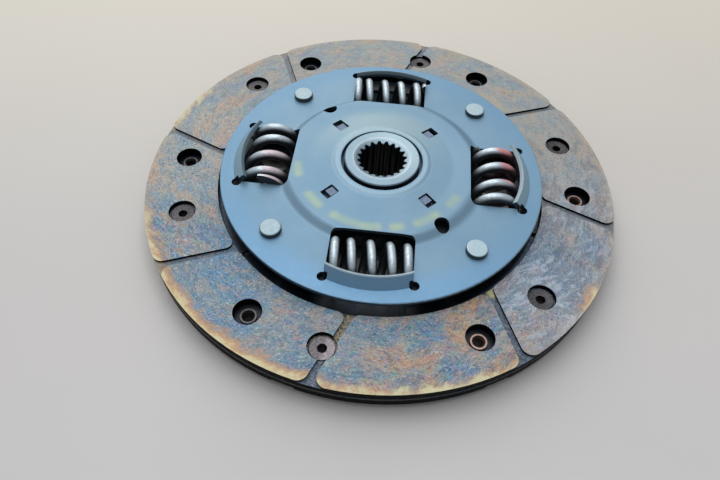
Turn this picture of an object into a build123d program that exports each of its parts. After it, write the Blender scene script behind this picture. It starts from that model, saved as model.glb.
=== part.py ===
from build123d import *

import math
import os

# Clutch driven disc for a passenger car, 200 mm, with a four-spring torsional damper.
# Millimetres. Z is the shaft axis, and +Z points to the gearbox. The plane z = 0 is the
# mid-plane of the hub flange, halfway between the two damper plates. A bearing is an angle
# in degrees round Z from +X. A piece of a repeated pattern is drawn round bearing 0, with
# X radial and Y tangential, and is then turned to its own bearing.

# Damper springs: two soft ones and two stiff ones, in windows of one size
spring_outer_r = 10.75
spring_radial = 48.5  # of the spring's axis
spring_length = 33.0
spring_coil_gap = 0.1  # between each closed end coil and the next
closing_turns = 0.25  # the pitch closes over this much wire on each side of the last open turn
path_points_per_turn = 16
soft_wire = 3.7
soft_pitch = 7.6
stiff_wire = 4.2
stiff_pitch = 9.7
spring_crests = (3.7, 2.3, 2.3, 0.2)  # one coil's top, from the middle of each window

# Hub
hub_outer_r = 15.9
hub_length = 22.8
hub_stand_out = 1.0  # of its front end from the retainer plate's collar
hub_edge_chamfer = 0.4
flange_thickness = 7.0
flange_side_gap = 1.15  # on each side, to the plate there
flange_rim = 0.3  # the flange's rim stands this far outside the stop pins
flange_window_ease = 1.0  # the flange's windows reach this much further in than the plates'
flange_window_corner_r = 1.2
hub_travel = 8.0  # degrees each way, up to the stop pins
notch_side_clearance = 0.15
notch_floor_clearance = 0.4
notch_corner_r = 3.0

# Internal spline
spline_teeth = 20
spline_root_r = 10.6
spline_tip_r = 9.3
spline_space_at_tip = 2.2
spline_space_at_root = 1.05
spline_bearing = 7.7  # middle of the first tooth space
lead_in_r = 12.05
lead_in_depth = 1.15

# Damper plates: the retainer plate in front and the disc plate behind
plate_thickness = 1.6
plate_rim_width = 5.2  # outside the roots of the lips
plate_edge_r = 0.4  # roll-over of the blanked edges
hub_hole_gap = 1.3  # between the hub and the plates

# Spring windows
window_count = 4
window_bearing = -3.8
window_end_clearance = 0.1
window_side_clearance = 0.15
window_corner_r = 2.1
lip_slope = 49.7  # degrees up from the plate
lip_rise = 4.2
lip_clearance = 0.21  # from the end coils to the lip's inner face
lip_centre = 20.5  # the lip's arc in plan is struck from here
lip_root_overlap = 1.5
relief_hole_r = 2.0
relief_hole_inset = 4.0  # its centre lies this far inside the root of the lip
relief_hole_outset = 0.5  # and this far outside the window's side
relief_hole_rise = 2.0  # the hole runs this far up the end of the lip

# Raised boss of the retainer plate, over the thrust stack
boss_height = 2.85
boss_foot_past_window = 5.9  # the boss's foot lies this far outside the windows' inner edges
boss_slope_run = 3.4
dome_rise = 0.85
dome_crease_r = 20.0  # of the bend between the boss's flat ring and its domed middle
collar_width = 2.3
collar_slope_run = 1.3
collar_rise = 0.45
collar_bend_r = 1.8
boss_inside_bend_r = 3.0
boss_outside_bend_r = 3.5

# Slots for the thrust washer's lugs, and the two gauge holes
slot_count = 4
slot_bearing = 41.8
slot_length = 6.2
slot_width = 4.9
slot_corner_r = 0.5
dome_foot_past_slot = 2.4  # the dome's foot lies this far outside the slots' middles
gauge_hole_r = 3.15
gauge_hole_past_shoulder = 0.2  # its middle lies this far outside the boss's shoulder
gauge_hole_bearings = (127.0, -53.0)

# Stop pins: they hold the two plates apart and stop the hub's travel
pin_count = 4
pin_inset = 11.5  # their middles lie this far inside the plates' rim
pin_bearing = 41.3
pin_body_r = 4.5
pin_tenon_r = 3.1
pin_head_r = 4.3
pin_head_height = 2.1
pin_head_edge_r = 0.6
pin_fit_clearance = 0.05

# Thrust stack between the flange and the plates
bush_clearance = 0.05  # running fit round the hub
bush_rim_inset = 0.9  # the bush's flange ends this far inside the washer's rim
washer_rim_inset = 0.2  # the washer ends this far inside the slots' outer ends
washer_clearance = 0.3
washer_thickness = 2.6
lug_inset = 1.0  # the lugs lie this far inside the slots' middles
lug_length = 3.6
lug_width = 3.7
lug_top_below_slot = 0.3
cone_collar_gap = 0.4  # between the cone spring and the collar's foot
cone_width = 3.8
cone_thickness = 1.1
cone_lug_gap = 0.2  # between the cone spring and the washer's lugs

# Friction facings
facing_plate_gap = 1.8  # round the damper plates
facing_width = 30.0
facing_thickness = 3.5
groove_count = 8
groove_width = 2.7
groove_depth = 1.1
groove_bearing = 33.9  # of the groove's middle
groove_slant = -15.8  # from the radial line
pad_outer_corner_r = 4.0
pad_inner_corner_r = 3.0

# Facing rivets: each facing has its own, clinched behind the cushion segment
rivet_pairs = 6
front_rivet_bearing = 17.0
rear_rivet_bearing = -3.9
rivet_pocket_r = 5.5
rivet_pocket_depth = 2.3
rivet_head_r = 4.85
rivet_head_height = 0.75
rivet_head_dish = 0.25  # the head's face sinks this much towards the bore
rivet_shank_r = 2.6
rivet_bore_r = 1.85
rivet_tail_r = 3.3
rivet_tail_bore_r = 2.5  # the tubular end opens out to this
rivet_tail_height = 0.85
rivet_edge_r = 0.25
rivet_clearance = 0.05

# Cushion segments: waved spring steel between the two facings
segment_bearing = 8.6  # of the first segment's middle
segment_thickness = 0.7
segment_gap = 2.2  # between neighbouring segments
segment_foot_lap = 5.6  # of the foot on the disc plate
segment_neck_gap = 0.6  # the flat foot ends this far outside the facings' inner rims
segment_tip_inset = 1.6  # the blade ends this far inside the facings' outer rims
segment_corner_r = 2.0
segment_lap = 1.0  # the waved blade starts this far inside the foot's end
cushion_travel = 0.5  # height of the wave
wave_land = 15.4  # flat crest round each rivet
wave_ramp = 6.0

# Rivets that hold the segments to the disc plate, flush in front and domed behind
foot_rivets_per_segment = 2
foot_rivet_spacing = 27.0  # degrees
foot_rivet_inset = 2.7  # from the plates' rim
foot_rivet_r = 1.5
foot_rivet_head_r = 2.3
foot_rivet_head_height = 0.6

# Heights that follow from the stack
flange_top = flange_thickness / 2
front_plate_z = flange_top + flange_side_gap
front_plate_top = front_plate_z + plate_thickness
rear_plate_z = -front_plate_z
rear_plate_bottom = -front_plate_top
cushion_gap = segment_thickness + cushion_travel
cushion_z = rear_plate_z + segment_thickness / 2
front_facing_back = cushion_z + cushion_gap / 2
rear_facing_back = cushion_z - cushion_gap / 2
ring_top = front_plate_top + boss_height
dome_top = ring_top + dome_rise
collar_top = dome_top + collar_rise
hub_front_z = collar_top + hub_stand_out
hub_rear_z = hub_front_z - hub_length

# The windows are set out from the springs. A lip's inner face clears the spring's end coils
# by its clearance, and this fixes the root of the lip where the spring ends.
window_half_width = spring_length / 2 + window_end_clearance
window_inner = spring_radial - spring_outer_r - window_side_clearance
lip_angle = math.radians(lip_slope)
lip_outer_face = spring_outer_r + lip_clearance + plate_thickness  # from the spring's axis
lip_root_end = spring_radial + (lip_outer_face - front_plate_top * math.cos(lip_angle)) / math.sin(lip_angle)
lip_root_r = math.hypot(lip_root_end - lip_centre, spring_length / 2)
lip_root_radial = lip_centre + lip_root_r
lip_reach = lip_rise / math.tan(lip_angle)
relief_hole_radial = lip_root_radial - relief_hole_inset
relief_hole_tangential = window_half_width + relief_hole_outset
flange_window_inner = window_inner - flange_window_ease

# Radii from the rim of the plates outwards
plate_outer_r = lip_root_radial + plate_rim_width
pin_pitch_r = plate_outer_r - pin_inset
flange_outer_r = pin_pitch_r + pin_body_r + flange_rim
foot_rivet_pitch_r = plate_outer_r - foot_rivet_inset
segment_foot_r = plate_outer_r - segment_foot_lap
facing_inner_r = plate_outer_r + facing_plate_gap
facing_outer_r = facing_inner_r + facing_width
rivet_pitch_r = (facing_inner_r + facing_outer_r) / 2
segment_neck_r = facing_inner_r + segment_neck_gap
segment_tip_r = facing_outer_r - segment_tip_inset

# Radii from the hub outwards to the boss
hub_hole_r = hub_outer_r + hub_hole_gap
collar_shoulder_r = hub_hole_r + collar_width
collar_foot_r = collar_shoulder_r + collar_slope_run
cone_inner_r = collar_foot_r + cone_collar_gap
cone_outer_r = cone_inner_r + cone_width
lug_radial = cone_outer_r + cone_lug_gap + lug_length / 2
slot_radial = lug_radial + lug_inset
dome_foot_r = slot_radial + dome_foot_past_slot
washer_outer_r = slot_radial + slot_length / 2 - washer_rim_inset
bush_flange_r = washer_outer_r - bush_rim_inset
boss_foot_r = window_inner + boss_foot_past_window
boss_shoulder_r = boss_foot_r - boss_slope_run
gauge_hole_pitch_r = boss_shoulder_r + gauge_hole_past_shoulder


def turned(shape, bearing):
    """The shape turned about Z to a bearing."""
    return Rot(0, 0, bearing) * shape


def around(shape, count, first=0.0):
    """A list of equal copies of the shape about Z, the first one at the given bearing."""
    return [turned(shape, first + index * 360 / count) for index in range(count)]


def cylinder(radius, low, high, x=0.0, y=0.0):
    """A cylinder parallel to Z between two heights."""
    return Pos(x, y, low) * extrude(Circle(radius), high - low)


def spun(points):
    """A solid of revolution about Z from (radius, height) corners."""
    return revolve(Plane.XZ * make_face(Polyline(*points, close=True)), Axis.Z)


def ring(outer, inner):
    return Circle(outer) - Circle(inner)


# ---------------------------------------------------------------- friction ring


def facing():
    """One friction facing, its back at z = 0 and its grooved face up."""
    floor = facing_thickness - groove_depth
    plan = ring(facing_outer_r, facing_inner_r)
    groove = Pos(rivet_pitch_r, 0) * Rot(0, 0, groove_slant) * Rectangle(facing_outer_r, groove_width)
    pads = plan - around(groove, groove_count, groove_bearing)
    outer = [v for v in pads.vertices() if v.center().length > rivet_pitch_r]
    pads = fillet(outer, pad_outer_corner_r)
    pads = fillet([v for v in pads.vertices() if near_inner_rim(v)], pad_inner_corner_r)
    body = extrude(plan, floor) + Pos(0, 0, floor) * extrude(pads, groove_depth)
    seat = facing_thickness - rivet_pocket_depth
    pocket = cylinder(rivet_pocket_r, seat, facing_thickness, rivet_pitch_r)
    shank_hole = cylinder(rivet_shank_r + rivet_clearance, 0, facing_thickness, rivet_pitch_r)
    tail_hole = cylinder(rivet_pocket_r, 0, facing_thickness, rivet_pitch_r)
    body -= around(pocket + shank_hole, rivet_pairs, front_rivet_bearing)
    body -= around(tail_hole, rivet_pairs, rear_rivet_bearing)
    return body


def near_inner_rim(vertex):
    return abs(vertex.center().length - facing_inner_r) < groove_width


def facing_rivet():
    """A tubular rivet, its head's seat at z = 0 and its clinched tail below."""
    grip = facing_thickness - rivet_pocket_depth + segment_thickness
    tail_end = -grip - rivet_tail_height
    body = spun(
        [
            (rivet_bore_r, rivet_head_height - rivet_head_dish),
            (rivet_head_r, rivet_head_height),
            (rivet_head_r, 0),
            (rivet_shank_r, 0),
            (rivet_shank_r, -grip),
            (rivet_tail_r, -grip),
            (rivet_tail_r, tail_end),
            (rivet_tail_bore_r, tail_end),
            (rivet_bore_r, -grip),
        ]
    )
    rims = body.edges().filter_by(GeomType.CIRCLE)
    rolled = [e for e in rims if e.radius > rivet_shank_r and e.center().Z in ends_of(body)]
    return fillet(rolled, rivet_edge_r)


def ends_of(body):
    box = body.bounding_box()
    return (box.min.Z, box.max.Z)


def cushion_segment():
    """A waved segment, its middle at bearing 0. Its foot lies on the disc plate."""
    half = 180 / rivet_pairs
    apex = segment_gap / 2 / math.sin(math.radians(half))
    reach = 2 * facing_outer_r
    side = reach * math.tan(math.radians(half))
    wedge = make_face(Polyline((apex, 0), (apex + reach, side), (apex + reach, -side), close=True))
    foot_plan = ring(segment_neck_r, segment_foot_r) & wedge
    blade_plan = ring(segment_tip_r, segment_neck_r - segment_lap) & wedge
    blade_plan = fillet([v for v in blade_plan.vertices() if v.X > segment_neck_r], segment_corner_r)
    foot = Pos(0, 0, rear_plate_z) * extrude(foot_plan, segment_thickness)
    deep_blade = Pos(0, 0, rear_plate_z - segment_tip_r) * extrude(blade_plan, 2 * segment_tip_r)
    body = foot + (waved_sheet() & deep_blade)
    hole = cylinder(rivet_shank_r + rivet_clearance, rear_facing_back, front_facing_back, rivet_pitch_r)
    body -= turned(hole, front_rivet_bearing - segment_bearing)
    body -= turned(hole, rear_rivet_bearing - segment_bearing)
    rivet = Pos(foot_rivet_pitch_r, 0, 0) * foot_rivet()
    return body - [turned(rivet, bearing) for bearing in foot_rivet_bearings()]


def foot_rivet_bearings():
    """Bearings of one segment's foot rivets, from its middle."""
    span = foot_rivet_spacing * (foot_rivets_per_segment - 1)
    return [index * foot_rivet_spacing - span / 2 for index in range(foot_rivets_per_segment)]


def waved_sheet():
    """A sheet whose crests touch the front facing at one rivet and the rear one at the other."""
    front = rivet_pitch_r * math.sin(math.radians(front_rivet_bearing - segment_bearing))
    rear = rivet_pitch_r * math.sin(math.radians(rear_rivet_bearing - segment_bearing))
    land = wave_land / 2
    low = rear_facing_back
    high = front_facing_back - segment_thickness
    edge = segment_tip_r
    under = [
        (-edge, high),
        (rear - land - wave_ramp, high),
        (rear - land, low),
        (rear + land, low),
        (front - land, high),
        (front + land, high),
        (front + land + wave_ramp, low),
        (edge, low),
    ]
    over = [(y, z + segment_thickness) for y, z in reversed(under)]
    return extrude(Plane.YZ * make_face(Polyline(*under, *over, close=True)), segment_tip_r)


def foot_rivet():
    """A rivet on the axis: countersunk flush into the segment's foot and domed behind the plate."""
    top = rear_plate_z + segment_thickness
    return spun(
        [
            (0, top),
            (foot_rivet_head_r, top),
            (foot_rivet_r, rear_plate_z),
            (foot_rivet_r, rear_plate_bottom),
            (foot_rivet_head_r, rear_plate_bottom),
            (foot_rivet_head_r, rear_plate_bottom - foot_rivet_head_height / 3),
            (foot_rivet_r, rear_plate_bottom - foot_rivet_head_height),
            (0, rear_plate_bottom - foot_rivet_head_height),
        ]
    )


# ---------------------------------------------------------------- damper plates


def sheet_ring(path):
    """A pressed sheet of the plates' thickness under a line of radius and height."""
    section = make_face(offset(path, plate_thickness, side=Side.LEFT))
    edges = [v for v in section.vertices() if v.X in (hub_hole_r, plate_outer_r) and v.Y >= front_plate_top]
    return revolve(Plane.XZ * fillet(edges, plate_edge_r), Axis.Z)


def boss_line():
    """Upper surface of the retainer plate, from its rim in to the collar round the hub."""
    return FilletPolyline(
        (plate_outer_r, front_plate_top),
        (boss_foot_r, front_plate_top),
        (boss_shoulder_r, ring_top),
        (dome_foot_r, ring_top),
        (collar_foot_r, dome_top),
        (collar_shoulder_r, collar_top),
        (hub_hole_r, collar_top),
        radius=[boss_inside_bend_r, boss_outside_bend_r, dome_crease_r, collar_bend_r, collar_bend_r],
    )


def window_opening():
    """Plan of one spring window at bearing 0, bounded outside by the root of its lip."""
    length = lip_centre + lip_root_r - window_inner
    plan = Pos(window_inner + length / 2, 0) * Rectangle(length, 2 * window_half_width)
    inner = [v for v in plan.vertices() if v.X < window_inner + length / 2]
    plan = fillet(inner, window_corner_r)
    return plan & (Pos(lip_centre, 0) * Circle(lip_root_r))


def window_lip():
    """The lip over the outside of a spring, bent up from the upper face of the front plate."""
    root = lip_root_r
    line = Polyline(
        (root + lip_root_overlap, front_plate_top),
        (root, front_plate_top),
        (root - lip_reach, front_plate_top + lip_rise),
    )
    profile = Plane.XZ * make_face(offset(line, plate_thickness, side=Side.LEFT))
    free_edge = root - lip_reach - plate_thickness
    sweep_angle = 2 * math.degrees(math.asin(relief_hole_tangential / free_edge))
    lip = turned(revolve(profile, Axis.Z, sweep_angle), -sweep_angle / 2)
    slab = Box(facing_outer_r, 2 * window_half_width, facing_outer_r)
    return (Pos(lip_centre, 0, 0) * lip) & (Pos(facing_outer_r / 2, 0, 0) * slab)


def cut_windows(plate):
    """The plate with its windows, lips, relief holes and stop pin holes."""
    deep = 2 * collar_top
    opening = Pos(0, 0, -collar_top) * extrude(window_opening(), deep)
    plate -= around(opening, window_count, window_bearing)
    plate += around(window_lip(), window_count, window_bearing)
    for side in (-1, 1):
        y = side * relief_hole_tangential
        relief = cylinder(relief_hole_r, 0, front_plate_top + relief_hole_rise, relief_hole_radial, y)
        plate -= around(relief, window_count, window_bearing)
    tenon_hole = cylinder(pin_tenon_r + pin_fit_clearance, 0, deep, pin_pitch_r)
    return plate - around(tenon_hole, pin_count, pin_bearing)


def retainer_plate():
    """The front damper plate, pressed up round the hub over the thrust stack."""
    plate = cut_windows(sheet_ring(boss_line()))
    slot = fillet(Rectangle(slot_length, slot_width).vertices(), slot_corner_r)
    slot = extrude(slot, 2 * collar_top)
    plate -= around(Pos(slot_radial, 0, 0) * slot, slot_count, slot_bearing)
    gauge_hole = cylinder(gauge_hole_r, 0, 2 * collar_top, gauge_hole_pitch_r)
    return plate - [turned(gauge_hole, bearing) for bearing in gauge_hole_bearings]


def disc_plate():
    """The rear damper plate: flat, with the same windows turned over."""
    flat = sheet_ring(Polyline((plate_outer_r, front_plate_top), (hub_hole_r, front_plate_top)))
    plate = mirror(cut_windows(flat), Plane.XY)
    hole = cylinder(foot_rivet_r, rear_plate_bottom, rear_plate_z, foot_rivet_pitch_r)
    for bearing in foot_rivet_bearings():
        plate -= around(hole, rivet_pairs, segment_bearing + bearing)
    return plate


def stop_pin():
    """A shouldered pin between the plates, riveted over at both ends."""
    half = spun(
        [
            (0, 0),
            (pin_body_r, 0),
            (pin_body_r, front_plate_z),
            (pin_tenon_r, front_plate_z),
            (pin_tenon_r, front_plate_top),
            (pin_head_r, front_plate_top),
            (pin_head_r, front_plate_top + pin_head_height),
            (0, front_plate_top + pin_head_height),
        ]
    )
    rim = [e for e in half.edges().filter_by(GeomType.CIRCLE) if e.center().Z == ends_of(half)[1]]
    half = fillet(rim, pin_head_edge_r)
    return Pos(pin_pitch_r, 0, 0) * (half + mirror(half, Plane.XY))


# ---------------------------------------------------------------- hub and springs


def hub():
    """The splined hub and its flange, forged as one piece."""
    window_length = flange_outer_r - flange_window_inner
    window = Rectangle(2 * window_length, 2 * window_half_width)
    window = Pos(flange_outer_r, 0) * window
    window = fillet([v for v in window.vertices() if v.X < flange_outer_r], flange_window_corner_r)
    plan = Circle(flange_outer_r) - around(window, window_count, window_bearing)
    plan -= around(pin_notch(), pin_count, pin_bearing)
    body = Pos(0, 0, -flange_top) * extrude(plan, flange_thickness)
    boss = cylinder(hub_outer_r, hub_rear_z, hub_front_z)
    body += chamfer(boss.edges().filter_by(GeomType.CIRCLE), hub_edge_chamfer)
    return body - spline_bore()


def pin_notch():
    """Plan of the gap in the flange in which one stop pin travels."""
    half = hub_travel + math.degrees(math.asin((pin_body_r + notch_side_clearance) / pin_pitch_r))
    floor_r = pin_pitch_r - pin_body_r - notch_floor_clearance
    reach = 2 * facing_outer_r
    side = reach * math.tan(math.radians(half))
    wedge = make_face(Polyline((0, 0), (reach, side), (reach, -side), close=True))
    notch = wedge & ring(facing_outer_r, floor_r)
    corners = [v for v in notch.vertices() if v.center().length < pin_pitch_r]
    return fillet(corners, notch_corner_r)


def spline_bore():
    """What the shaft's spline and its lead-in chamfers take out of the hub."""
    inside = spline_tip_r - spline_root_r / 4
    at_tip = spline_space_at_tip / 2
    at_root = spline_space_at_root / 2
    space = make_face(
        Polyline(
            (inside, -at_tip),
            (spline_tip_r, -at_tip),
            (spline_root_r, -at_root),
            (spline_root_r, at_root),
            (spline_tip_r, at_tip),
            (inside, at_tip),
            close=True,
        )
    )
    plan = Circle(spline_tip_r) + around(space, spline_teeth, spline_bearing)
    lead_in = spun([(0, 0), (lead_in_r, 0), (spline_tip_r, -lead_in_depth), (0, -lead_in_depth)])
    bore = Pos(0, 0, hub_rear_z) * extrude(plan, hub_length)
    return bore + Pos(0, 0, hub_front_z) * lead_in + Pos(0, 0, hub_rear_z) * mirror(lead_in, Plane.XY)


def centring_bush():
    """The flanged bush that centres the disc plate on the hub and rubs on its flange."""
    bore = hub_outer_r + bush_clearance
    return spun(
        [
            (bore, -flange_top),
            (bush_flange_r, -flange_top),
            (bush_flange_r, rear_plate_z),
            (hub_hole_r, rear_plate_z),
            (hub_hole_r, rear_plate_bottom),
            (bore, rear_plate_bottom),
        ]
    )


def thrust_washer():
    """The front friction washer. Its lugs stand in the retainer plate's slots."""
    top = flange_top + washer_thickness
    plan = ring(washer_outer_r, hub_outer_r + washer_clearance)
    body = Pos(0, 0, flange_top) * extrude(plan, washer_thickness)
    lug_height = ring_top - lug_top_below_slot - top
    lug = Pos(lug_radial, 0, top) * extrude(Rectangle(lug_length, lug_width), lug_height)
    return body + around(lug, slot_count, slot_bearing)


def cone_spring():
    """The cone spring that presses the thrust washer on to the flange."""
    low = flange_top + washer_thickness
    slope = dome_rise / (dome_foot_r - collar_foot_r)
    underside = dome_top - (cone_inner_r - collar_foot_r) * slope - plate_thickness * math.hypot(1, slope)
    return spun(
        [
            (cone_outer_r, low),
            (cone_outer_r, low + cone_thickness),
            (cone_inner_r, underside),
            (cone_inner_r, underside - cone_thickness),
        ]
    )


def wire_height(turn, open_turns, pitch, closed_pitch):
    """Height of the wire's middle some turns from the middle of the spring.

    The pitch is even as far as the last open turns and closes evenly round their end.
    """
    far = abs(turn)
    even = min(far, open_turns - closing_turns)
    closing = min(far - even, 2 * closing_turns)
    closed = max(far - open_turns - closing_turns, 0)
    change = (pitch - closed_pitch) * closing / (4 * closing_turns)
    rise = pitch * even + (pitch - change) * closing + closed_pitch * closed
    return math.copysign(rise, turn)


def damper_spring(wire, pitch, crest):
    """A right-hand compression spring with closed and ground ends, its axis tangential."""
    coil_r = spring_outer_r - wire / 2
    closed_pitch = wire + spring_coil_gap
    open_turns = (spring_length / 2 - closed_pitch) / pitch
    steps = math.ceil((open_turns + 1) * path_points_per_turn)
    points = []
    for step in range(-steps, steps + 1):
        turn = (open_turns + 1) * step / steps
        x = coil_r * math.cos(math.tau * turn)
        y = coil_r * math.sin(math.tau * turn)
        points.append((x, y, wire_height(turn, open_turns, pitch, closed_pitch)))
    path = Spline(*points)
    coil = sweep(Plane(origin=path @ 0, z_dir=path % 0) * Circle(wire / 2), path, is_frenet=True)
    coil &= Box(4 * spring_outer_r, 4 * spring_outer_r, spring_length)
    return Pos(spring_radial, 0, 0) * Rot(90, 0, 90 + 360 * crest / pitch) * coil


# ---------------------------------------------------------------- the assembly


def save(name, shape):
    """Writes one node. A list is a group of separate solids."""
    solids = shape if isinstance(shape, list) else [shape]
    solids = [solid for member in solids for solid in member.solids()]
    node = solids[0] if len(solids) == 1 else Compound(children=solids)
    export_step(node, f"parts/{name}.step")


def main():
    os.makedirs("parts", exist_ok=True)
    front = facing()
    save("front_facing", Pos(0, 0, front_facing_back) * front)
    turn_over = Rot(0, 0, front_rivet_bearing + rear_rivet_bearing) * Rot(180, 0, 0)
    save("rear_facing", Pos(0, 0, rear_facing_back) * turn_over * front)

    seat = facing_thickness - rivet_pocket_depth
    rivet = Pos(rivet_pitch_r, 0, 0) * facing_rivet()
    upright = Pos(0, 0, front_facing_back + seat) * rivet
    inverted = Pos(0, 0, rear_facing_back - seat) * Rot(180, 0, 0) * rivet
    save("front_facing_rivets", around(upright, rivet_pairs, front_rivet_bearing))
    save("rear_facing_rivets", around(inverted, rivet_pairs, rear_rivet_bearing))

    segment = cushion_segment()
    for index, copy in enumerate(around(segment, rivet_pairs, segment_bearing)):
        save(f"cushion_segment_{index + 1}", copy)
    held = Pos(foot_rivet_pitch_r, 0, 0) * foot_rivet()
    rivets = [r for b in foot_rivet_bearings() for r in around(held, rivet_pairs, segment_bearing + b)]
    save("segment_rivets", rivets)

    save("retainer_plate", retainer_plate())
    save("disc_plate", disc_plate())
    save("stop_pins", around(stop_pin(), pin_count, pin_bearing))
    save("centring_bush", centring_bush())
    save("thrust_washer", thrust_washer())
    save("cone_spring", cone_spring())
    save("hub", hub())

    for index, crest in enumerate(spring_crests):
        stiff = index % 2 == 0
        wire = stiff_wire if stiff else soft_wire
        pitch = stiff_pitch if stiff else soft_pitch
        bearing = window_bearing + index * 360 / window_count
        save(f"damper_spring_{index + 1}", turned(damper_spring(wire, pitch, crest), bearing))


main()
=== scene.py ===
import math

import bpy
from mathutils import Matrix, Vector


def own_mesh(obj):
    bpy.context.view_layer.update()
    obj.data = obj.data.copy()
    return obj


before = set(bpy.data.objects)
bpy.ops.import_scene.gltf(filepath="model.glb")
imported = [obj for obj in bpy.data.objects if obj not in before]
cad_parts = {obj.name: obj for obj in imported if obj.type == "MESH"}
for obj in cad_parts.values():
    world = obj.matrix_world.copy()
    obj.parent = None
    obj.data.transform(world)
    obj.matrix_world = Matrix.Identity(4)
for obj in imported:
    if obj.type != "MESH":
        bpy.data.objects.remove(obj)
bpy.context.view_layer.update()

# Looks, spring meshes, lamps and camera for a clutch driven disc, in the frame of the CAD model.
# Lengths are in millimetres. A bearing is in degrees round Z from +X: in the photograph -90 is
# the near side, 0 the right, 90 the far side and 180 the left.
MM = 0.001

# Facings
FACING_TOP = -0.2
FACING_BACK = -3.7
REAR_FACING_BACK = -4.9  # the two backs face each other across the cushion segments
FACING_INNER = 70.0
FACING_OUTER = 100.0
GROOVES = 8
GROOVE_AT_INNER = 37.4  # bearing of a groove's middle at the inner rim
GROOVE_AT_OUTER = 31.5
PAD_SPAN = 360 / GROOVES
PAD_SHIFT = 61.7  # moves the pattern on from pad to pad
RIVET_SPAN = 60.0  # between a facing's own rivets
FRONT_RIVET_BEARING = 17.0
REAR_RIVET_BEARING = -3.9
# Bearing b on the front facing matches TURNED_OVER - b on the rear one
TURNED_OVER = FRONT_RIVET_BEARING + REAR_RIVET_BEARING

# Damper plates: the two radii of a zone
COLLAR = (17.6, 21.0)
BOSS_MIDDLE = (16.0, 31.0)  # inside the boss's flat ring
INK_RING = (33.9, 37.3)  # on the flat ring
BOSS_SLOPE = (39.8, 43.8)

# and the two radii or heights between which a look sets in
LIP_ROOT = (50.0, 51.0)
OUTER_PART = (52.0, 66.0)
LIP_TOP = (9.95, 10.25)
DISC_PLATE_INSIDE = (-5.1, -4.8)

# Springs, in windows a quarter turn apart
SPRINGS = 4
SPRING_SPAN = 360 / SPRINGS
WINDOW_BEARING = -3.8
SPRING_RADIAL = 48.5  # of the spring's axis

# Hub
HUB_END = 11.4
LEAD_IN = (11.3, 12.4)  # radii of the bore's chamfer

CUSHION_SEGMENTS = 6
CUSHION_CHANNEL = (68.4, 69.5)  # the segments show between the plate and the facing


# ------------------------------------------------------------------ node trees


def srgb(red, green, blue):
    """A colour given as it looks on a screen, from 0 to 255."""
    def linear(value):
        value /= 255
        return value / 12.92 if value <= 0.04045 else ((value + 0.055) / 1.055) ** 2.4
    return (linear(red), linear(green), linear(blue))


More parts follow.
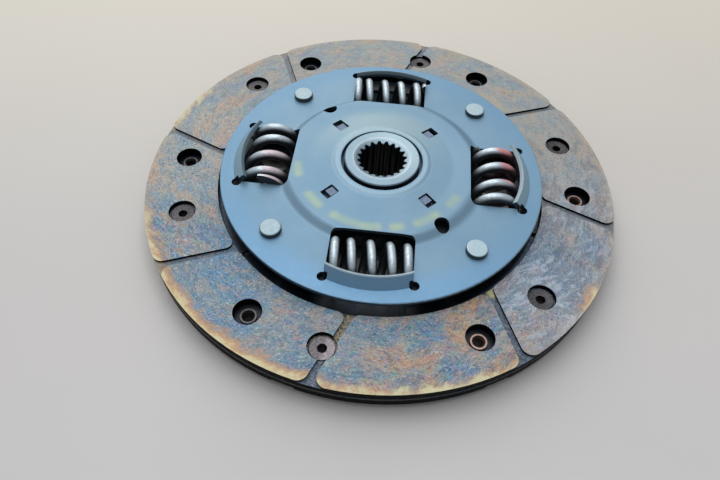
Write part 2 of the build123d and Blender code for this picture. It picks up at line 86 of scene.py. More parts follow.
class Tree:
    """A material's node tree, built with one short call a node."""

    def __init__(self, name):
        self.material = bpy.data.materials.new(name)
        self.material.use_nodes = True
        self.nodes = self.material.node_tree.nodes
        self.links = self.material.node_tree.links
        self.nodes.clear()
        self.output = self.nodes.new("ShaderNodeOutputMaterial")

    def put(self, socket, value):
        """Sets a socket to a number, a colour or another node's output."""
        if isinstance(value, bpy.types.NodeSocket):
            self.links.new(value, socket)
        elif value is not None:
            socket.default_value = value

    def add(self, kind, *values, **settings):
        """Adds a node, with its settings and its inputs in order."""
        node = self.nodes.new(kind)
        for key, value in settings.items():
            setattr(node, key, value)
        for index, value in enumerate(values):
            self.put(node.inputs[index], value)
        return node

    def math(self, operation, *values):
        return self.add("ShaderNodeMath", *values, operation=operation).outputs[0]

    def plus(self, first, second):
        return self.math("ADD", first, second)

    def minus(self, first, second):
        return self.math("SUBTRACT", first, second)

    def times(self, first, second):
        return self.math("MULTIPLY", first, second)

    def larger(self, first, second):
        return self.math("MAXIMUM", first, second)

    def vector(self, x, y, z):
        return self.add("ShaderNodeCombineXYZ", x, y, z).outputs[0]

    def vector_math(self, operation, first, second):
        return self.add("ShaderNodeVectorMath", first, second, operation=operation).outputs[0]

    def split(self, vector):
        return self.add("ShaderNodeSeparateXYZ", vector).outputs

    def place(self):
        """The point in the object's own frame, in millimetres."""
        point = self.add("ShaderNodeTexCoord").outputs["Object"]
        return self.vector_math("MULTIPLY", point, (1 / MM,) * 3)

    def upward(self):
        """How far the surface faces along the shaft axis, from 0 on a wall to 1."""
        normal = self.add("ShaderNodeTexCoord").outputs["Normal"]
        return self.math("ABSOLUTE", self.split(normal)[2])

    def noise(self, vector, scale, detail=3.0, roughness=0.5, distortion=0.0):
        node = self.nodes.new("ShaderNodeTexNoise")
        self.put(node.inputs["Vector"], vector)
        self.put(node.inputs["Scale"], scale)
        self.put(node.inputs["Detail"], detail)
        self.put(node.inputs["Roughness"], roughness)
        self.put(node.inputs["Distortion"], distortion)
        return node.outputs[0]

    def hues(self, vector, scale, detail=3.0, roughness=0.5):
        """Noise with three channels of its own."""
        return self.noise(vector, scale, detail, roughness).node.outputs[1]

    def swing(self, noise, amount):
        """Noise centred on 0 and scaled."""
        return self.times(self.minus(noise, 0.5), amount)

    def flakes(self, vector, scale):
        """Random cells: the distance from each one's middle, and a random colour a cell."""
        node = self.nodes.new("ShaderNodeTexVoronoi")
        self.put(node.inputs["Vector"], vector)
        self.put(node.inputs["Scale"], scale)
        return node.outputs["Distance"], node.outputs["Color"]

    def strokes(self, vector, scale, share):
        """Short separate strokes in a share of the cells, 0 to 1, and a random number a stroke."""
        distance, dice = self.flakes(vector, scale)
        pick, other = self.split(dice)[:2]
        chosen = self.step(pick, 1 - share, 1.02 - share)
        return self.times(self.step(distance, 0.52, 0.34), chosen), other

    def step(self, value, low, high):
        """0 below low and 1 above high, smooth between. It falls where high is below low."""
        node = self.add("ShaderNodeMapRange", interpolation_type="SMOOTHSTEP")
        self.put(node.inputs["Value"], value)
        self.put(node.inputs["From Min"], min(low, high))
        self.put(node.inputs["From Max"], max(low, high))
        self.put(node.inputs["To Min"], 0.0 if low < high else 1.0)
        self.put(node.inputs["To Max"], 1.0 if low < high else 0.0)
        return node.outputs[0]

    def band(self, value, low, high, soft):
        """1 between low and high, with soft edges."""
        rise = self.step(value, low - soft, low + soft)
        fall = self.step(value, high + soft, high - soft)
        return self.times(rise, fall)

    def ramp(self, value, *stops):
        """A colour ramp from (place, colour) stops. Where a colour is one number, it is a grey."""
        node = self.nodes.new("ShaderNodeValToRGB")
        elements = node.color_ramp.elements
        while len(elements) < len(stops):
            elements.new(0.5)
        for element, (where, colour) in zip(elements, stops):
            element.position = where
            element.color = (colour,) * 3 + (1,) if isinstance(colour, float) else (*colour, 1)
        self.put(node.inputs[0], value)
        return node.outputs[0]

    def mix(self, share, first, second, blend="MIX"):
        node = self.nodes.new("ShaderNodeMix")
        node.data_type = "RGBA"
        node.blend_type = blend
        self.put(node.inputs[0], share)
        for socket, value in ((node.inputs[6], first), (node.inputs[7], second)):
            self.put(socket, (*value, 1) if isinstance(value, tuple) else value)
        return node.outputs[2]

    def tint(self, colour, share, amount, paint):
        """The colour painted over where the share is 1, by the amount."""
        return self.mix(self.times(share, amount), colour, paint)

    def dim(self, colour, factor):
        """The colour times a grey."""
        return self.mix(1.0, colour, factor, "MULTIPLY")

    def shift_colour(self, colour, hues, amount):
        """The colour moved either way in each channel by the noise."""
        centred = self.vector_math("SUBTRACT", hues, (0.5,) * 3)
        scaled = self.vector_math("MULTIPLY", centred, (amount,) * 3)
        return self.vector_math("ADD", colour, scaled)

    def finish(
        self, colour, roughness, metallic=0.0, height=None, strength=0.3, distance=0.0002, specular=0.5
    ):
        shader = self.nodes.new("ShaderNodeBsdfPrincipled")
        self.put(shader.inputs["Base Color"], (*colour, 1) if isinstance(colour, tuple) else colour)
        self.put(shader.inputs["Roughness"], roughness)
        self.put(shader.inputs["Metallic"], metallic)
        self.put(shader.inputs["Specular IOR Level"], specular)
        if height is not None:
            bump = self.nodes.new("ShaderNodeBump")
            self.put(bump.inputs["Strength"], strength)
            self.put(bump.inputs["Distance"], distance)
            self.put(bump.inputs["Height"], height)
            self.put(shader.inputs["Normal"], bump.outputs[0])
        self.links.new(shader.outputs[0], self.output.inputs[0])
        return self.material


class RoundTree(Tree):
    """A node tree with polar coordinates round the shaft axis."""

    def __init__(self, name):
        super().__init__(name)
        self.point = self.place()
        x, y, self.height = self.split(self.point)
        self.radius = self.math("SQRT", self.plus(self.times(x, x), self.times(y, y)))
        self.bearing = self.times(self.math("ARCTAN2", y, x), math.degrees(1))

    def turned_from(self, middle, span=360.0):
        """Degrees from a bearing, or from the nearest of several that repeat at the span."""
        return self.math("WRAP", self.minus(self.bearing, middle), span / 2, -span / 2)

    def side(self, middle, half, soft):
        """1 within half degrees of a bearing, with soft edges."""
        return self.band(self.turned_from(middle), -half, half, soft)


def paint(node, material):
    """Gives a CAD node a material in place of its plain one."""
    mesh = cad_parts[node].data
    mesh.materials.clear()
    mesh.materials.append(material)


# ------------------------------------------------------------------ facings


class FacingTree(RoundTree):
    """A facing's node tree, with the coordinates and patterns that its looks share."""

    def __init__(self, name, turned_over):
        self.turned_over = turned_over
        super().__init__(name)
        self.along, pad = self.on_pad()
        self.pad_shift = self.times(pad, PAD_SHIFT)
        self.across = self.plus(self.radius, self.swing(self.noise(self.point, 0.06, 2.0), 9.0))
        self.patches = self.vector(self.across, self.times(self.along, 0.7), self.pad_shift)
        self.swirl = self.noise(self.leaning(-0.2, 0.32, 17.0), 0.42, 3.0, 0.6, 0.6)
        self.grain = self.noise(self.leaning(0.1, 0.6, 5.0), 1.5, 3.0, 0.7)
        self.flecks = self.noise(self.leaning(0.2, 0.7, 41.0), 1.7, 2.0, 0.6)
        # The far side is paler and greyer, partly from the resin's own film and partly from painted
        # sheen.
        self.film_and_sheen = self.times(self.side(75.0, 72.0, 30.0), 0.45)

    def place(self):
        """The point on the front facing, or the point there that matches one on the rear facing."""
        point = super().place()
        if not self.turned_over:
            return point
        x, y, z = self.split(point)
        level = self.minus(REAR_FACING_BACK + FACING_BACK, z)
        turn = self.add("ShaderNodeVectorRotate", rotation_type="Z_AXIS")
        self.put(turn.inputs["Vector"], self.vector(x, self.times(y, -1.0), level))
        self.put(turn.inputs["Angle"], math.radians(TURNED_OVER))
        return turn.outputs[0]

    def on_pad(self):
        """Distance along the arc from the middle of the pad between two grooves, and its number."""
        slant = (GROOVE_AT_INNER - GROOVE_AT_OUTER) / (FACING_OUTER - FACING_INNER)
        groove = self.times(self.minus(FACING_OUTER, self.radius), slant)
        from_groove = self.minus(self.minus(self.bearing, GROOVE_AT_OUTER), groove)
        pads = self.math("DIVIDE", from_groove, PAD_SPAN)
        number = self.math("FLOOR", pads)
        inside = self.minus(self.minus(pads, number), 0.5)
        return self.times(self.times(inside, math.radians(PAD_SPAN)), self.radius), number

    def leaning(self, lean, stretch, layer):
        """Coordinates for strokes that lean from the tangent, in a layer of their own."""
        leant = self.plus(self.across, self.times(self.along, lean))
        return self.vector(leant, self.times(self.along, stretch), self.plus(self.pad_shift, layer))


def marbling(tree):
    """Blue-grey and tan resin, from broad zones to fine grain."""
    # Darker and bluer about -130 on the near side, partly the resin's tone and partly painted shade;
    # cooler about -30 too.
    cool = tree.times(tree.larger(tree.side(-130.0, 34.0, 14.0), tree.side(-30.0, 12.0, 8.0)), -0.06)
    warm = tree.times(tree.side(-62.0, 14.0, 12.0), 0.035)
    colour = tree.ramp(
        tree.plus(tree.noise(tree.patches, 0.10, 4.0, 0.62), tree.plus(cool, warm)),
        (0.35, srgb(94, 138, 172)),
        (0.44, srgb(120, 146, 164)),
        (0.51, srgb(146, 152, 154)),
        (0.57, srgb(170, 156, 146)),
        (0.66, srgb(194, 150, 120)),
    )
    colour = tree.shift_colour(colour, tree.hues(tree.patches, 0.30, 4.0, 0.7), 0.20)
    colour = tree.tint(colour, tree.step(tree.swirl, 0.47, 0.34), 0.52, srgb(76, 96, 118))
    colour = tree.tint(colour, tree.step(tree.swirl, 0.54, 0.66), 0.42, srgb(196, 164, 138))
    blotch = tree.noise(tree.leaning(0.3, 0.6, 29.0), 0.17, 4.0, 0.65, 0.8)
    colour = tree.tint(colour, tree.step(blotch, 0.46, 0.37), 0.60, srgb(92, 116, 138))
    colour = tree.tint(colour, tree.step(blotch, 0.55, 0.64), 0.64, srgb(190, 150, 122))
    soot = tree.step(tree.noise(tree.patches, 0.14, 4.0, 0.6), 0.44, 0.56)
    colour = tree.tint(colour, tree.times(tree.side(-22.0, 16.0, 10.0), soot), 0.55, srgb(84, 92, 104))
    dabs = tree.flakes(tree.leaning(0.2, 0.5, 7.0), 0.85)[1]
    colour = tree.shift_colour(colour, dabs, 0.06)
    colour = tree.shift_colour(colour, tree.hues(tree.leaning(-0.3, 0.45, 3.0), 1.3, 2.0, 0.6), 0.10)
    return tree.dim(colour, tree.ramp(tree.grain, (0.34, 0.66), (0.54, 1.0)))


def fibre_strokes(tree, colour):
    """Short strokes in five sets, each in two colours and with a lean of its own."""
    for lean, stretch, scale, share, layer, first, second in (
        (-0.35, 0.45, 1.0, 0.24, 11.0, srgb(66, 76, 90), srgb(100, 92, 90)),
        (0.45, 0.40, 0.9, 0.10, 23.0, srgb(194, 150, 120), srgb(182, 146, 138)),
        (0.10, 0.40, 0.9, 0.12, 37.0, srgb(108, 152, 182), srgb(134, 166, 170)),
        (-0.60, 0.32, 1.9, 0.07, 53.0, srgb(206, 212, 216), srgb(196, 198, 188)),
        (0.55, 0.28, 2.0, 0.06, 71.0, srgb(224, 226, 220), srgb(214, 206, 160)),
    ):
        stroke, pick = tree.strokes(tree.leaning(lean, stretch, layer), scale, share)
        stroke_colour = tree.mix(tree.step(pick, 0.4, 0.6), first, second)
        colour = tree.tint(colour, stroke, 0.48, stroke_colour)
    return colour


def side_tones(tree, colour):
    """What the photograph shows on one side of the ring only: casts, streaks, veins and stains."""
    # A blue cast on the near side, partly the resin's tone and partly painted shade.
    colour = tree.tint(colour, tree.side(-120.0, 30.0, 14.0), 0.22, srgb(108, 156, 186))
    colour = tree.tint(colour, tree.side(8.0, 30.0, 14.0), 0.34, srgb(164, 156, 150))
    streaks = tree.times(tree.side(-2.0, 30.0, 14.0), tree.step(tree.swirl, 0.50, 0.40))
    colour = tree.tint(colour, streaks, 0.45, srgb(92, 91, 98))
    colour = tree.tint(colour, tree.side(172.0, 22.0, 10.0), 0.3, srgb(184, 188, 180))
    near_right = tree.times(tree.side(-41.0, 13.0, 6.0), 0.55)
    right = tree.times(tree.side(-12.0, 16.0, 8.0), 0.3)
    silver = tree.larger(near_right, right)
    colour = tree.mix(silver, colour, srgb(132, 149, 170))
    veins = tree.times(silver, tree.step(tree.swirl, 0.50, 0.60))
    colour = tree.mix(veins, colour, srgb(190, 200, 214))
    # Partly a grey film and partly painted sheen on the far side.
    colour = tree.mix(tree.film_and_sheen, colour, srgb(170, 170, 163))
    for middle, half, width, stain_colour in (
        (45.0, 7.0, 9.0, srgb(212, 182, 134)),
        (165.0, 5.0, 8.0, srgb(214, 162, 130)),
    ):
        stained_to = FACING_INNER + width
        within = tree.step(tree.across, stained_to + 3.0, stained_to - 3.0)
        stain = tree.times(tree.side(middle, half, 4.0), within)
        colour = tree.tint(colour, stain, 0.42, stain_colour)
    return colour


def flecks_and_threads(tree, colour):
    """Pale and dark flecks and thin threads, fainter under the grey film and painted sheen of the far
    side.
    """
    clear = tree.minus(1.0, tree.times(tree.film_and_sheen, 1.4))
    pale = tree.step(tree.flecks, 0.60, 0.70)
    colour = tree.tint(colour, pale, tree.times(clear, 0.68), srgb(216, 220, 218))
    dark = tree.step(tree.flecks, 0.40, 0.30)
    colour = tree.tint(colour, dark, tree.times(clear, 0.8), srgb(52, 58, 68))
    marble = tree.noise(tree.leaning(0.15, 0.35, 83.0), 0.5, 3.0, 0.6, 1.4)
    for level, thread_colour in (
        (0.51, srgb(206, 208, 206)),
        (0.43, srgb(66, 74, 88)),
        (0.58, srgb(196, 148, 118)),
    ):
        thread = tree.band(marble, level - 0.008, level + 0.008, 0.012)
        colour = tree.tint(colour, thread, tree.times(clear, 0.42), thread_colour)
    return colour


def burnt_rim(tree, colour):
    """Amber, orange and straw towards the outer rim, strongest at the near left."""
    uneven = tree.swing(tree.noise(tree.patches, 0.22, 4.0, 0.65), 13.0)
    ragged = tree.plus(tree.plus(tree.radius, uneven), tree.times(tree.grain, 2.0))
    smoother = tree.plus(tree.radius, tree.times(uneven, 0.4))
    heat = tree.larger(tree.larger(tree.side(-128.0, 32.0, 14.0), tree.side(-35.5, 3.5, 3.0)), 0.12)
    verge = tree.larger(tree.side(-112.0, 52.0, 10.0), tree.times(tree.side(157.0, 9.0, 5.0), 0.8))
    verge = tree.larger(verge, heat)
    amber = tree.step(ragged, FACING_OUTER - 5.0, FACING_OUTER - 0.5)
    colour = tree.tint(colour, amber, tree.times(heat, 0.78), srgb(206, 152, 104))
    orange = tree.step(smoother, FACING_OUTER - 3.5, FACING_OUTER - 0.4)
    colour = tree.tint(colour, orange, tree.times(verge, 0.6), srgb(214, 166, 110))
    straw = tree.step(ragged, FACING_OUTER - 1.8, FACING_OUTER + 1.5)
    return tree.tint(colour, straw, tree.times(verge, 0.8), srgb(222, 216, 174))


def groove_dust(tree, colour):
    """Bluish dust on the sunk floors, with beige dust packed into two places."""
    dust = tree.noise(tree.point, 0.9, 4.0, 0.75)
    bluish = tree.ramp(
        dust,
        (0.36, srgb(50, 58, 70)),
        (0.52, srgb(92, 102, 118)),
        (0.66, srgb(136, 140, 146)),
    )
    beige = tree.ramp(
        dust,
        (0.38, srgb(66, 58, 48)),
        (0.52, srgb(140, 128, 106)),
        (0.64, srgb(192, 176, 146)),
    )
    inner_part = tree.step(tree.radius, FACING_INNER + 20.0, FACING_INNER + 14.0)
    packed = tree.times(inner_part, tree.side(-101.0, 7.0, 2.0))
    inner_end = tree.step(tree.radius, FACING_INNER + 4.5, FACING_INNER + 2.5)
    crumbs = tree.times(inner_end, tree.side(-51.0, 3.0, 1.0))
    beige = tree.mix(crumbs, beige, srgb(206, 196, 142))
    packed = tree.larger(packed, crumbs)
    rubbed = tree.times(tree.minus(1.0, tree.side(-78.0, 42.0, 8.0)), 0.55)
    bluish = tree.mix(rubbed, bluish, tree.dim(colour, (0.82,) * 3))
    sunk = tree.step(tree.height, FACING_TOP - 0.2, FACING_TOP - 0.5)
    return tree.mix(sunk, colour, tree.mix(packed, bluish, beige))


def facing_material(name, turned_over):
    """Moulded friction material: marbled resin and fibre, burnished, with a burnt rim, and walls painted
    near-black as shade.
    """
    tree = FacingTree(name, turned_over)
    colour = marbling(tree)
    for layer in (fibre_strokes, side_tones, flecks_and_threads, burnt_rim, groove_dust):
        colour = layer(tree, colour)
    # Painted shade: the rim walls and groove walls go near-black.
    wall_shade = tree.step(tree.upward(), 0.7, 0.3)
    colour = tree.mix(wall_shade, colour, srgb(9, 11, 14))
    rough = tree.ramp(tree.grain, (0.3, 0.66), (0.7, 0.45))
    bumps = tree.plus(tree.grain, tree.times(tree.flecks, 0.5))
    shine = tree.minus(0.35, tree.times(wall_shade, 0.3))
    return tree.finish(colour, rough, height=bumps, distance=0.0003, specular=shine)


# ------------------------------------------------------------------ damper plates


def sheet_steel(tree, mottle):
    """Pressed steel with a light blue cast, with a painted highlight on the collar, painted light on the
    boss's slope and the lit sides, and painted reflections on the boss's far side and the near outer
    part.
    """
    cloud = tree.noise(tree.point, 0.05, 3.0, 0.5)
    colour = tree.ramp(cloud, (0.35, srgb(110, 143, 166)), (0.65, srgb(120, 150, 170)))
    colour = tree.tint(colour, tree.step(mottle, 0.45, 0.66), 0.18, srgb(152, 174, 186))
    outer = tree.step(tree.radius, *OUTER_PART)
    colour = tree.tint(colour, outer, 0.45, srgb(98, 142, 176))
    specks = tree.noise(tree.point, 2.4, 2.0, 0.5)
    colour = tree.tint(colour, tree.step(specks, 0.32, 0.24), 0.4, srgb(70, 84, 96))
    # Painted highlight: a pale band round the collar's shoulder.
    colour = tree.tint(colour, tree.band(tree.radius, *COLLAR, 0.9), 0.55, srgb(160, 184, 198))
    far_side = tree.side(85.0, 70.0, 40.0)
    # Painted reflection: the boss is paler and warmer on its far side.
    warm = tree.times(far_side, tree.band(tree.radius, *BOSS_MIDDLE, 4.0))
    colour = tree.tint(colour, warm, 0.4, srgb(166, 182, 178))
    # Painted light: the right side is paler and bluer.
    colour = tree.tint(colour, tree.side(5.0, 38.0, 26.0), 0.3, srgb(140, 172, 196))
    # Painted reflection: the outer part on the near side is paler and bluer.
    near_rim_reflection = tree.times(outer, tree.side(-95.0, 50.0, 30.0))
    colour = tree.tint(colour, near_rim_reflection, 0.35, srgb(122, 168, 206))
    # Painted light on the boss's slope, except on the far side.
    slope = tree.times(tree.band(tree.radius, *BOSS_SLOPE, 1.2), tree.step(far_side, 0.5, 0.0))
    return tree.tint(colour, slope, 0.5, srgb(164, 194, 214))


def ink_dabs(tree, colour):
    """Plain worn dabs of yellowish ink along a ring, where the real plate has writing."""
    marks = 0.0
    for middle, half in (
        (-169.5, 7.0), (-139.5, 8.0), (-106.5, 17.0), (-79.5, 4.5), (-59.0, 9.5), (-35.0, 6.0)
    ):
        marks = tree.larger(tree.side(middle, half, 2.4), marks)
    worn = tree.ramp(tree.noise(tree.point, 0.11, 1.0, 0.5), (0.36, 0.34), (0.6, 0.52))
    ring = tree.band(tree.radius, *INK_RING, 1.6)
    return tree.tint(colour, tree.times(ring, marks), worn, srgb(180, 190, 132))


def cut_edges(tree, colour):
    """Walls darkened, partly as oxide on the cut edges and partly as painted shade, and the lips' edges,
    with a painted highlight on some sides and painted shade on others, and paler along their crests.
    """
    upward = tree.upward()
    # The walls go dark, partly oxide on the cut edges and partly painted shade.
    colour = tree.tint(colour, tree.step(upward, 0.5, 0.2), 0.88, srgb(30, 38, 46))
    on_lip = tree.step(tree.radius, *LIP_ROOT)
    edge = tree.times(tree.band(upward, 0.71, 0.82, 0.02), on_lip)
    colour = tree.mix(edge, colour, srgb(120, 134, 138))
    # Painted highlight on the lips' edges on the near and right sides.
    rubbed = tree.times(edge, tree.side(-55.0, 70.0, 12.0))
    colour = tree.tint(colour, rubbed, 0.7, srgb(196, 210, 216))
    crest = tree.times(tree.step(tree.math("ABSOLUTE", tree.height), *LIP_TOP), on_lip)
    colour = tree.tint(colour, crest, 0.7, srgb(206, 222, 230))
    # Painted shade on the far lip's edge.
    far_edge_shade = tree.times(edge, tree.side(WINDOW_BEARING + 90, 30.0, 4.0))
    colour = tree.tint(colour, far_edge_shade, 0.85, srgb(52, 66, 70))
    # Painted shade on the left lip's edge, and a weaker painted highlight on the right one.
    left = tree.side(WINDOW_BEARING + 180, 34.0, 4.0)
    colour = tree.tint(colour, tree.times(edge, left), 0.8, srgb(92, 116, 130))
    right = tree.side(WINDOW_BEARING, 30.0, 4.0)
    colour = tree.tint(colour, tree.times(edge, right), 0.4, srgb(128, 146, 156))
    # Painted light: the lips' outer faces are lighter at the left and right.
    outer_face = tree.times(tree.band(upward, 0.55, 0.7, 0.02), on_lip)
    return tree.tint(colour, tree.times(outer_face, tree.larger(left, right)), 0.7, srgb(158, 186, 196))


def plate_material(name, retainer):
    """A damper plate. The retainer plate has dabs of ink, and the other one an inner face painted
    near-black as the shade between the plates.
    """
    tree = RoundTree(name)
    mottle = tree.noise(tree.point, 0.9, 4.0, 0.7)
    colour = sheet_steel(tree, mottle)
    if retainer:
        colour = ink_dabs(tree, colour)
    colour = cut_edges(tree, colour)
    if not retainer:
        # Painted shade: the disc plate's inner face goes near-black.
        colour = tree.tint(colour, tree.step(tree.height, *DISC_PLATE_INSIDE), 0.94, srgb(16, 20, 26))
    rough = tree.ramp(mottle, (0.35, 0.44), (0.65, 0.56))
    return tree.finish(colour, rough, 0.4, mottle, 0.06)


# ------------------------------------------------------------------ hub, springs and fasteners


def hub_material():
    """Machined steel, with fine turned rings on its end face, a painted highlight on one side of it, and
    the bore and the sides below the end face painted near-black as shade.
    """
    tree = RoundTree("hub_steel")
    turning = tree.vector(tree.times(tree.radius, 6.0), 0.0, tree.times(tree.height, 6.0))
    rings = tree.noise(turning, 1.0)
    colour = tree.ramp(rings, (0.3, srgb(120, 143, 156)), (0.7, srgb(140, 161, 174)))
    stain = tree.noise(tree.point, 0.35, 4.0, 0.6)
    colour = tree.tint(colour, tree.step(stain, 0.54, 0.68), 0.35, srgb(134, 140, 146))
    # Painted highlight on the far right of the end face.
    colour = tree.tint(colour, tree.side(40.0, 62.0, 40.0), 0.45, srgb(178, 198, 206))
    colour = tree.tint(colour, tree.band(tree.radius, *LEAD_IN, 0.35), 0.55, srgb(196, 208, 210))
    end = tree.math("ABSOLUTE", tree.height)
    # Painted shade: the bore and the sides below the end face go near-black.
    inside_lead_in = tree.step(tree.radius, 11.9, 11.2)
    bore = tree.times(inside_lead_in, tree.step(end, HUB_END - 0.8, HUB_END - 1.3))
    colour = tree.tint(colour, bore, 0.97, srgb(14, 14, 16))
    outside_lead_in = tree.step(tree.radius, 12.4, 12.8)
    sides = tree.times(outside_lead_in, tree.step(end, HUB_END - 0.2, HUB_END - 0.8))
    colour = tree.tint(colour, sides, 0.95, srgb(20, 23, 28))
    return tree.finish(colour, 0.42, 0.5, rings, 0.08)


def steel_material(name, light, dark):
    """Plain steel with a soft mottle of two tones."""
    tree = Tree(name)
    point = tree.place()
    mottle = tree.noise(point, 0.6, 4.0, 0.6)
    colour = tree.ramp(mottle, (0.35, dark), (0.62, light))
    specks = tree.noise(point, 2.2, 2.0, 0.5)
    colour = tree.tint(colour, tree.step(specks, 0.34, 0.26), 0.5, dark)
    return tree.finish(colour, 0.45, 0.4, mottle, 0.1)


def cushion_material():
    """Blued spring steel, painted nearly black as shade where it runs under the plate and the facings,
    with a painted sheen where it shows between them.
    """
    tree = RoundTree("cushion_steel")
    mottle = tree.noise(tree.point, 0.5, 3.0, 0.6)
    colour = tree.ramp(mottle, (0.35, srgb(12, 16, 24)), (0.65, srgb(20, 26, 38)))
    # Painted sheen in the channel between the plate and the facing, lighter at the near right.
    sheen = tree.mix(tree.side(-32.0, 24.0, 16.0), srgb(44, 66, 90), srgb(100, 118, 142))
    patchy = tree.ramp(mottle, (0.3, 0.3), (0.6, 0.9))
    colour = tree.tint(colour, tree.band(tree.radius, *CUSHION_CHANNEL, 0.5), patchy, sheen)
    return tree.finish(colour, 0.4, 0.4, mottle, 0.1)


def pin_material():
    """Stop pins: pale riveted heads, brighter on the right, with sides painted dark as shade."""
    tree = RoundTree("pin_steel")
    mottle = tree.noise(tree.point, 0.7, 4.0, 0.6)
    colour = tree.ramp(mottle, (0.35, srgb(144, 164, 172)), (0.65, srgb(162, 178, 184)))
    colour = tree.tint(colour, tree.side(-4.0, 60.0, 10.0), 0.45, srgb(188, 208, 214))
    # Painted shade on the pins' sides.
    colour = tree.tint(colour, tree.step(tree.upward(), 0.85, 0.45), 0.88, srgb(34, 44, 48))
    return tree.finish(colour, 0.45, 0.4, mottle, 0.1)


def spring_material(name, marking=None):
    """Spring wire, bright on top of the coils and painted dark elsewhere, as shade with some grime.

    A marking is a worn stroke of paint: its strength and colour, the two radii that it lies
    between, and the two places along Y between which the coils have it.
    """
    tree = RoundTree(name)
    mottle = tree.noise(tree.point, 0.7, 4.0, 0.6)
    colour = tree.ramp(mottle, (0.35, srgb(176, 190, 200)), (0.65, srgb(212, 220, 222)))
    stroke = 0.0
    if marking:
        strength, paint_colour, radii, coils = marking
        ragged = tree.plus(tree.radius, tree.swing(mottle, 7.0))
        on_coils = tree.band(tree.split(tree.point)[1], *coils, 1.5)
        stroke = tree.times(tree.times(tree.band(ragged, *radii, 1.8), strength), on_coils)
        colour = tree.mix(stroke, colour, paint_colour)

    offset = tree.math("RADIANS", tree.turned_from(WINDOW_BEARING, SPRING_SPAN))
    across = tree.minus(tree.times(tree.radius, tree.math("COSINE", offset)), SPRING_RADIAL)
    squares = tree.plus(tree.math("POWER", across, 2.0), tree.math("POWER", tree.height, 2.0))
    outside = tree.step(tree.math("SQRT", squares), 8.3, 9.4)
    high_up = tree.step(tree.math("ABSOLUTE", tree.height), 4.5, 9.0)
    # Painted shade, with some grime: all but the upper outsides of the coils go near-black.
    clean_and_lit = tree.times(tree.times(tree.step(tree.upward(), 0.34, 0.88), high_up), outside)
    colour = tree.tint(colour, tree.minus(1.0, clean_and_lit), 0.94, srgb(12, 16, 22))
    metal = tree.times(tree.minus(1.0, stroke), 0.45)
    return tree.finish(colour, 0.4, metal, mottle, 0.1)


def rivet_material():
    """Copper-plated rivet heads, dark apart from one that is rubbed bright on half of its face."""
    tree = RoundTree("rivet_copper")
    mottle = tree.noise(tree.point, 1.1, 4.0, 0.6)
    dark = tree.ramp(mottle, (0.35, srgb(52, 50, 54)), (0.65, srgb(92, 86, 86)))
    bright = tree.ramp(mottle, (0.35, srgb(112, 102, 108)), (0.65, srgb(164, 150, 152)))
    middle = FRONT_RIVET_BEARING - 2 * RIVET_SPAN
    worn = tree.ramp(tree.turned_from(middle), (0.0, 0.35), (1.0, 1.0))
    colour = tree.tint(dark, tree.side(middle, 5.0, 1.0), worn, bright)
    colour = tree.tint(colour, tree.step(tree.upward(), 0.6, 0.3), 0.9, srgb(16, 15, 16))
    return tree.finish(colour, 0.45, 0.4, mottle, 0.15)


def tail_material():
    """Clinched tails of the rear rivets, two of them still coppery."""
    tree = RoundTree("rivet_tail")
    mottle = tree.noise(tree.point, 1.1, 4.0, 0.6)
    dark = tree.ramp(mottle, (0.35, srgb(58, 56, 60)), (0.65, srgb(104, 98, 98)))
    bright = tree.ramp(mottle, (0.35, srgb(158, 122, 108)), (0.65, srgb(196, 164, 148)))
    near = tree.side(REAR_RIVET_BEARING - RIVET_SPAN, 5.0, 1.0)
    right = tree.side(REAR_RIVET_BEARING, 5.0, 1.0)
    colour = tree.mix(tree.larger(near, right), dark, bright)
    colour = tree.tint(colour, tree.step(tree.upward(), 0.9, 0.6), 0.85, srgb(22, 19, 18))
    return tree.finish(colour, 0.45, 0.4, mottle, 0.15)


def moulded_material():
    """Moulded thrust washer and bush, bluish grey."""
    tree = Tree("moulded_friction")
    mottle = tree.noise(tree.place(), 1.2, 4.0, 0.6)
    colour = tree.ramp(mottle, (0.35, srgb(100, 116, 142)), (0.65, srgb(128, 144, 170)))
    colour = tree.tint(colour, tree.step(tree.upward(), 0.6, 0.3), 0.8, srgb(40, 44, 50))
    return tree.finish(colour, 0.55, height=mottle, strength=0.1)


def dress_nodes():
    paint("front_facing", facing_material("facing_front", False))
    paint("rear_facing", facing_material("facing_rear", True))
    paint("retainer_plate", plate_material("retainer_steel", True))
    paint("disc_plate", plate_material("disc_steel", False))
    paint("hub", hub_material())
    paint("stop_pins", pin_material())
    paint("segment_rivets", steel_material("segment_rivet_steel", srgb(38, 48, 64), srgb(24, 30, 42)))
    paint("cone_spring", steel_material("cone_steel", srgb(60, 66, 74), srgb(30, 34, 40)))
    paint("front_facing_rivets", rivet_material())
    paint("rear_facing_rivets", tail_material())
    blued = cushion_material()
    for number in range(1, CUSHION_SEGMENTS + 1):
        paint(f"cushion_segment_{number}", blued)
    moulded = moulded_material()
    paint("thrust_washer", moulded)
    paint("centring_bush", moulded)
    red = (0.8, srgb(222, 128, 124), (50.8, 70.0), (-9.0, 20.0))
    faint_red = (0.5, srgb(222, 176, 180), (30.0, 50.0), (-20.0, 6.0))
    bare = spring_material("spring_steel")
    paint("damper_spring_1", spring_material("spring_painted", red))
    paint("damper_spring_2", bare)
    paint("damper_spring_3", spring_material("spring_faint_paint", faint_red))
    paint("damper_spring_4", bare)


# ------------------------------------------------------------------ spring meshes


def squeeze_springs():
    """Gives each spring a mesh of its own."""
    for index in range(SPRINGS):
        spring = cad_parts[f"damper_spring_{index + 1}"]
        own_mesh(spring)


# ------------------------------------------------------------------ stage

# Camera, fitted to the photograph
CAMERA_PLACE = (-7.577, -178.755, 190.423)
CAMERA_TILT = 36.967
CAMERA_ROLL = 2.888
LENS = 29.757
SENSOR_WIDTH = 36.0
CLIP_START = 10.0

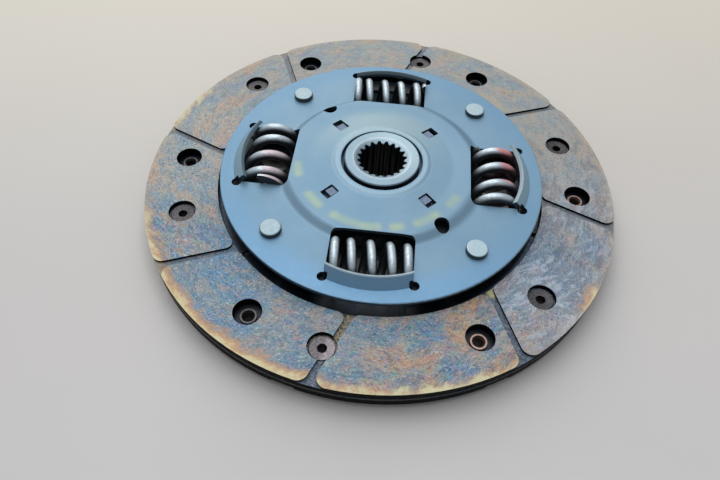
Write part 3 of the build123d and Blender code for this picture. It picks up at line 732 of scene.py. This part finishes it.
# Lamps, with places and sizes in metres and powers in watts
WINDOW_PLACE = (-0.5, 2.2, 1.2)
WINDOW_SIZE = 1.8
WINDOW_POWER = 24.0
SKY_PLACE = (-0.2, 0.5, 1.95)
SKY_SIZE = 1.9
SKY_POWER = 27.5
WORLD_STRENGTH = 0.31

FLOOR_Z = -HUB_END  # the disc rests on the rear end of its hub
FLOOR_SIZE = 6.0  # metres


def make_floor():
    """A plain floor in the colour of the photograph's tiles, warmer away from the camera."""
    bpy.ops.mesh.primitive_plane_add(size=FLOOR_SIZE, location=(0, 0, FLOOR_Z * MM))
    floor = bpy.context.object
    floor.name = "floor"
    tree = Tree("floor")
    point = tree.place()
    cloud = tree.noise(point, 0.004, 3.0, 0.5)
    colour = tree.ramp(cloud, (0.3, srgb(208, 200, 197)), (0.7, srgb(215, 208, 204)))
    away = tree.step(tree.split(point)[1], -120.0, 260.0)
    colour = tree.tint(colour, away, 0.8, srgb(228, 216, 196))
    floor.data.materials.append(tree.finish(colour, 0.6, specular=0.3))


def area_light(name, place, size, power, colour):
    """A square lamp that points at the middle of the disc."""
    data = bpy.data.lights.new(name, "AREA")
    data.size = size
    data.energy = power
    data.color = colour
    light = bpy.data.objects.new(name, data)
    bpy.context.scene.collection.objects.link(light)
    light.location = place
    light.rotation_mode = "QUATERNION"
    light.rotation_quaternion = (-Vector(place)).to_track_quat("-Z", "Y")


def make_lights():
    area_light("window", WINDOW_PLACE, WINDOW_SIZE, WINDOW_POWER, (1.0, 0.98, 0.93))
    area_light("sky", SKY_PLACE, SKY_SIZE, SKY_POWER, (0.90, 0.96, 1.0))
    world = bpy.data.worlds.new("world")
    world.use_nodes = True
    background = world.node_tree.nodes["Background"]
    background.inputs["Color"].default_value = (0.84, 0.92, 1.0, 1)
    background.inputs["Strength"].default_value = WORLD_STRENGTH
    bpy.context.scene.world = world


def make_camera():
    data = bpy.data.cameras.new("camera")
    data.lens = LENS
    data.sensor_width = SENSOR_WIDTH
    data.clip_start = CLIP_START * MM
    camera = bpy.data.objects.new("camera", data)
    bpy.context.scene.collection.objects.link(camera)
    tilt = Matrix.Rotation(math.radians(CAMERA_TILT), 4, "X")
    roll = Matrix.Rotation(math.radians(CAMERA_ROLL), 4, "Z")
    place = Matrix.Translation(Vector(CAMERA_PLACE) * MM)
    camera.matrix_world = place @ tilt @ roll
    bpy.context.scene.camera = camera


make_camera()
make_floor()
make_lights()
dress_nodes()
squeeze_springs()
bpy.context.scene.view_settings.view_transform = "Standard"
